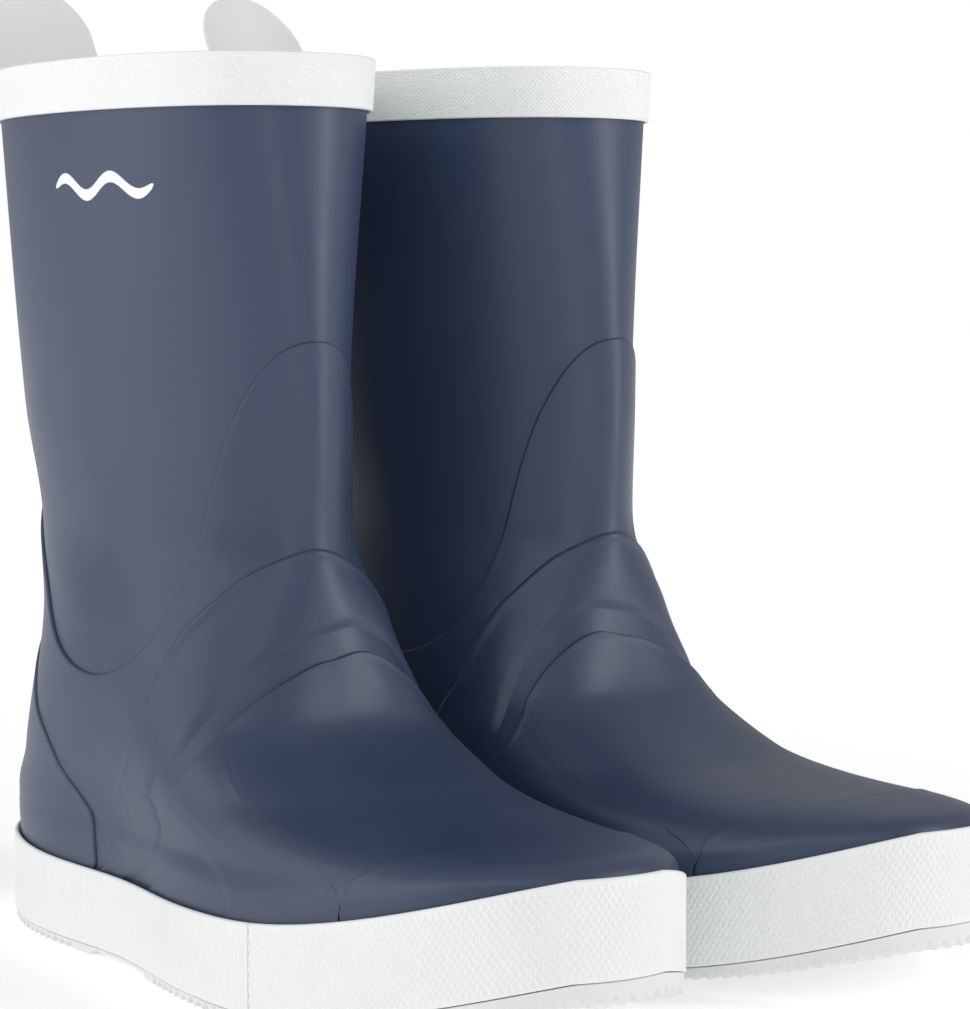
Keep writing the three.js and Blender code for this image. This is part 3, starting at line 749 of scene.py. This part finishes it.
def foxing(start, end, pitch, kind, relief, ladder_step):
    """The tape's face is upright, and its rolled lip reaches in to sit on the overlays."""
    turns = even_turns(FOOT_LEVEL, pitch / 2, TAPE_OFF, start, end)
    x = form(FOOT_LEVEL, turns)[:, 0]
    top, bottom = tape_top(x), tape_bottom(x)
    lean = form_normal(np.maximum(top, FOOT_LEVEL), turns)[:, 2] * smooth_step(top, 29, 32)
    seat = top - 0.7 - SEAT_OFF * lean
    rows = [upright(bottom, turns, TAPE_IN), upright(bottom, turns, TAPE_OFF - 0.4),
            upright(bottom + 0.15, turns, TAPE_OFF - 0.1), upright(bottom + 0.5, turns, TAPE_OFF)]
    first = len(rows)
    steps = int(round((TAPE_TOP["heel"] - TAPE_BOTTOM - 2.2) / ladder_step))
    low = np.zeros((first, len(turns)), bool)
    for i in range(steps + 1):
        sunk = sunk_corners(i, turns, kind) & (0 < i < steps)
        height = bottom + 0.8 + (top - bottom - 1.9) * i / steps
        rows.append(upright(height, turns, TAPE_OFF - relief * sunk))
        low = np.vstack([low, sunk])
    lip = [(0.7, 0), (0.32, 0.14), (0.07, 0.5), (0, 0.95)]
    rows += [upright(top - down, turns, TAPE_OFF - into) for down, into in lip]
    landing = layer(seat, turns, SEAT_OFF)
    rows += [rows[-1] * (1 - f) + landing * f + (0, 0, 0.25 * f * (1 - f)) for f in (0.3, 0.65)]
    rows += [landing, layer(seat - 2.2, turns, TAPE_IN), upright(bottom, turns, TAPE_IN)]
    points = np.array(rows)
    low = np.vstack([low, np.zeros((len(points) - len(low), len(turns)), bool)])
    return tape(points, low, kind, False)


joint_turn = turn_at(JOINT_X)
SEAM_HALF, SIDE_RADIUS = 0.12, 60.0
seam = SEAM_HALF / SIDE_RADIUS
make_pair("heel_foxing", foxing(-joint_turn + seam, joint_turn - seam, 2.0, "ribs", 0.28, 2.4),
          white)
make_pair("toe_bumper", foxing(joint_turn + seam, math.tau - joint_turn - seam, 2.2, "diamonds",
                               0.34, 1.55), white)

# %% Slabs under the foot
ACROSS = 8


def slab(points, sharp=()):
    """A closed slab from the rows of points round its side, closed across the midline."""
    centre = 0.5 * (points + points[:, ::-1])
    inward = np.linspace(1, 0, ACROSS + 1)[:-1]
    low = [points[0] * (1 - f) + centre[0] * f for f in inward]
    high = [points[-1] * (1 - f) + centre[-1] * f for f in inward[::-1]]
    flat = np.zeros(len(points) + 2 * ACROSS, bool)
    flat[[ACROSS + row for row in sharp]] = True
    return close_up(laid_grid(np.concatenate([low, points, high]), flat))


HEEL_FRONT, FORE_BACK, ARCH_LIFT = 92.0, 136.0, 1.6
NOTCH, NOTCH_PITCH = 3.0, 5.2
SOLE_OFF = TAPE_OFF - 0.5
sole_turns = even_turns(FOOT_LEVEL, NOTCH_PITCH / 4, SOLE_OFF)
sole_x = form(FOOT_LEVEL, sole_turns)[:, 0]
heel_end = smooth_step(sole_x, HEEL_FRONT - 1, HEEL_FRONT + 2)
fore_end = smooth_step(sole_x, FORE_BACK - 2, FORE_BACK + 1)
tread = ARCH_LIFT * heel_end * (1 - fore_end)
saw = np.abs((np.arange(len(sole_turns)) % 4) - 2) / 2
last_heel_tooth = smooth_step(sole_x, HEEL_FRONT - 12, HEEL_FRONT - 10)
first_fore_tooth = smooth_step(sole_x, FORE_BACK + 8, FORE_BACK + 10)
plain = last_heel_tooth * (1 - first_fore_tooth)
notch = NOTCH * saw * (1 - plain)
under = tape_bottom(sole_x) - 0.25
sole_rows = [(tread + 0.02, -9.0), (tread + 0.02, -4.0), (tread + 0.3 * notch, -1.0),
             (np.minimum(tread + notch, under - 0.4), SOLE_OFF - 0.6),
             (np.minimum(tread + notch + 0.3, under - 0.3), SOLE_OFF - 0.1),
             (under - 0.25, SOLE_OFF), (under, SOLE_OFF - 0.3), (under, 0.6), (6.2, 0.6)]
sole_points = np.array([upright(height, sole_turns, off) for height, off in sole_rows])
make_pair("outsole", slab(sole_points, (2, 3, 4)), sole_white)

slab_turns = even_turns(FOOT_LEVEL, 3.0, -3)


def plain_slab(low, high, off, ease=0.5):
    rows = [(low, off - ease), (low + ease * 0.4, off), (high - ease * 0.4, off), (high, off - ease)]
    level, d = np.array(rows).T
    return slab(layer(level[:, None], slab_turns[None], d[:, None]))


make_pair("insole_board", plain_slab(9.9, 11.7, -WALL - GAP), board)
make_pair("footbed", plain_slab(13.3, 17.5, -4.8, 1.4), foam, ride=False)
for side in ("right", "left"):
    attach(made[side, "footbed"], f"{side}_footbed_body")
    for node, material, slot in (("sole_filler", sponge, "sponge"), ("shank", steel, "steel")):
        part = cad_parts[f"{side}_{node}"]
        part.data.materials.clear()
        part.data.materials.append(material)

# %% [markdown]
# ## Pull tab and print
# The pull tab is a tongue of the same white rubber, bonded to the outside of the band. It is
# one sheet that stands in for both of the frame's tab parts, its foot and its free end. It
# starts as a flat grid cut to an arch, gets its thickness from solidify, and its rim is
# rounded with a bevel.

# %% Pull tab
TAB_HALF, TAB_TOP, TAB_ARCH, TAB_FOOT, TAB_CUP = 22.0, 321.0, 20.0, 269.2, 33.0
TAB_HINGE = 276.0
TAB_THICK = 2.0
TAB_LEAN = [(0, TAB_HINGE), (10, 288), (18, 299.5), (23, 312), (24, TAB_TOP)]
tab_start = float(section_values(RIM)[0]) - 2 * GAP - BAND_THICK
lean = smooth_line([(0, TAB_FOOT - 4)] + TAB_LEAN, 300)
lean = lean[lean[:, 1] >= TAB_FOOT]


def tab_sheet(rows=34, columns=28):
    up = 1 - (1 - np.linspace(0, 1, rows + 1)) ** 1.5
    z = TAB_FOOT + (TAB_TOP - TAB_FOOT) * up
    behind = np.interp(z, lean[:, 1], np.maximum(lean[:, 0], 0))
    below = np.minimum(TAB_ARCH, TAB_TOP - z)
    width = TAB_HALF * np.maximum(np.sqrt(TAB_ARCH**2 - (TAB_ARCH - below) ** 2) / TAB_ARCH, 0.02)
    y = width[:, None] * np.linspace(1, -1, columns + 1)
    cup = TAB_CUP - np.sqrt(TAB_CUP**2 - y**2)
    x = tab_start + cup * (1 - 0.3 * np.clip((z - TAB_HINGE) / (TAB_TOP - TAB_HINGE), 0, 1))[:, None]
    x = x - behind[:, None] - TAB_THICK / 2
    work = laid_grid(np.stack([x, y, np.broadcast_to(z[:, None], y.shape)], -1))
    bmesh.ops.recalc_face_normals(work, faces=work.faces)
    sheet = work.faces[:] + work.edges[:] + work.verts[:]
    bmesh.ops.solidify(work, geom=sheet, thickness=-TAB_THICK / 2)
    return work


def tab_solid():
    work = tab_sheet()
    bmesh.ops.recalc_face_normals(work, faces=work.faces)
    corners = [e for e in work.edges if len(e.link_faces) == 2 and e.calc_face_angle(0) > 1.0]
    bmesh.ops.bevel(work, geom=corners, offset=0.45, segments=3, profile=0.5, affect="EDGES",
                    material=-1, clamp_overlap=True)
    bmesh.ops.recalc_face_normals(work, faces=work.faces)
    return work


make_pair("pull_tab", tab_solid(), white, ["pull_tab_foot", "pull_tab"], ride=False)
for side in ("right", "left"):
    tab = made[side, "pull_tab"]
    hinge = Vector(to_row(tab_start, 0, TAB_HINGE))
    hinge.y *= 1 if side == "right" else -1
    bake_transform(tab)

# %% Wave print
PRINT_X, PRINT_Z, PRINT_LENGTH, PRINT_HEIGHT = 97.0, 245.0, 50.0, 9.0
INK_FACE, INK_BACK = 0.22, -0.05  # how far the ink's faces stand off the last


def wave_print(steps=64, lanes=6):
    """A generic wave on the outer side, with a stroke that thins out at its ends."""
    share = np.linspace(0, 1, steps + 1)
    stroke = PRINT_HEIGHT * 0.38
    middle = (PRINT_HEIGHT - stroke) * 0.5 * np.sin(share * 4 * math.pi)
    half = 0.5 * stroke * np.sqrt(1 - (2 * share - 1) ** 6) + 0.1
    lane = np.linspace(-1, 1, lanes + 1)[:, None]
    level = PRINT_Z + middle + half * lane
    x = PRINT_X + PRINT_LENGTH * (share - 0.5)
    values = section_values(level)
    back, front, wide = values[..., 0], values[..., 1], values[..., 3]
    centre = back + (front - back) * wide
    along = np.where(x < centre, (x - centre) / (centre - back), (x - centre) / (front - centre))
    turn = math.tau - np.arccos(-along)
    face = layer(level, turn, INK_FACE)
    edge_low = layer(level[:1], turn[:1], INK_BACK)
    edge_high = layer(level[-1:], turn[-1:], INK_BACK)
    under = layer(level[::-1], turn[::-1], INK_BACK)
    return close_up(laid_grid(np.concatenate([edge_low, face, edge_high, under[1:]])), fill_ends=True)


make_pair("side_print", wave_print(), ink)

# %% [markdown]
# ## Stage and light
# The boots stand on a pale floor in a white room. Tall softboxes on the right and in front give
# the upright highlights that show a satin rubber, a large one on the left lights the outer
# side, and the room itself fills in from every side.

# %% Floor, world and lights
# The floor is an opal acrylic table lit from below, more strongly far from the boots, so that it
# runs into the backdrop. The world is a white backdrop to the eye, and a dimmer fill on the
# boots, so that the softboxes shape them.
GLOW_NEAR, GLOW_FAR = 0.34, 0.64
GLOW_START, GLOW_END = 0.3, 2.2  # metres from the middle of the pair
floor_mesh = bmesh.new()
bmesh.ops.create_grid(floor_mesh, x_segments=2, y_segments=2, size=12)
floor = new_object("floor", floor_mesh)
floor_mesh.free()
acrylic, tree, shader = start_material("opal_acrylic", "#f6f6f6", 0.8)
grain(tree, shader, 6, 0.02, 300, (0.78, 0.82), ("#f8f8f8", "#f4f4f4"))
shader.inputs["Emission Color"].default_value = linear("#ffffff")
from_middle = add(tree, "ShaderNodeVectorMath", {"operation": "LENGTH"},
                  Vector=add(tree, "ShaderNodeTexCoord").outputs["Object"])
glow = ramp(tree, from_middle.outputs["Value"], GLOW_NEAR, GLOW_FAR, GLOW_START, GLOW_END)
tree.links.new(glow, shader.inputs["Emission Strength"])
floor.data.materials.append(acrylic)
floor.location = (0, 0, -0.0002)

FILL = 0.44
world = bpy.data.worlds.new("white room")
world.use_nodes = True
sky = world.node_tree
background = sky.nodes["Background"]
background.inputs["Color"].default_value = (1, 1, 1, 1)
seen = add(sky, "ShaderNodeLightPath").outputs["Is Camera Ray"]
sky.links.new(ramp(sky, seen, FILL, 1.0), background.inputs["Strength"])
bpy.context.scene.world = world
bpy.context.scene.view_settings.view_transform = "Standard"


def softbox(name, azimuth, distance, height, width, tall, watts):
    """An area light round the pair. Azimuth is measured from the camera's side, to its right."""
    data = bpy.data.lights.new(name, "AREA")
    data.shape, data.size, data.size_y, data.energy = "RECTANGLE", width, tall, watts
    light = bpy.data.objects.new(name, data)
    bpy.context.scene.collection.objects.link(light)
    angle = math.atan2(CAMERA_FROM_PAIR.y, CAMERA_FROM_PAIR.x) + math.radians(azimuth)
    light.location = (distance * math.cos(angle), distance * math.sin(angle), height)
    aim = Vector((0, 0, 0.12)) - light.location
    light.rotation_euler = aim.to_track_quat("-Z", "Y").to_euler()


softbox("right softbox", 78, 1.6, 0.75, 0.28, 1.6, 10)
softbox("front strip", 12, 1.9, 0.8, 0.14, 1.5, 3.5)
softbox("left softbox", -78, 1.8, 0.9, 2.0, 1.8, 15)
softbox("key softbox", -20, 1.9, 1.7, 1.4, 1.4, 6)
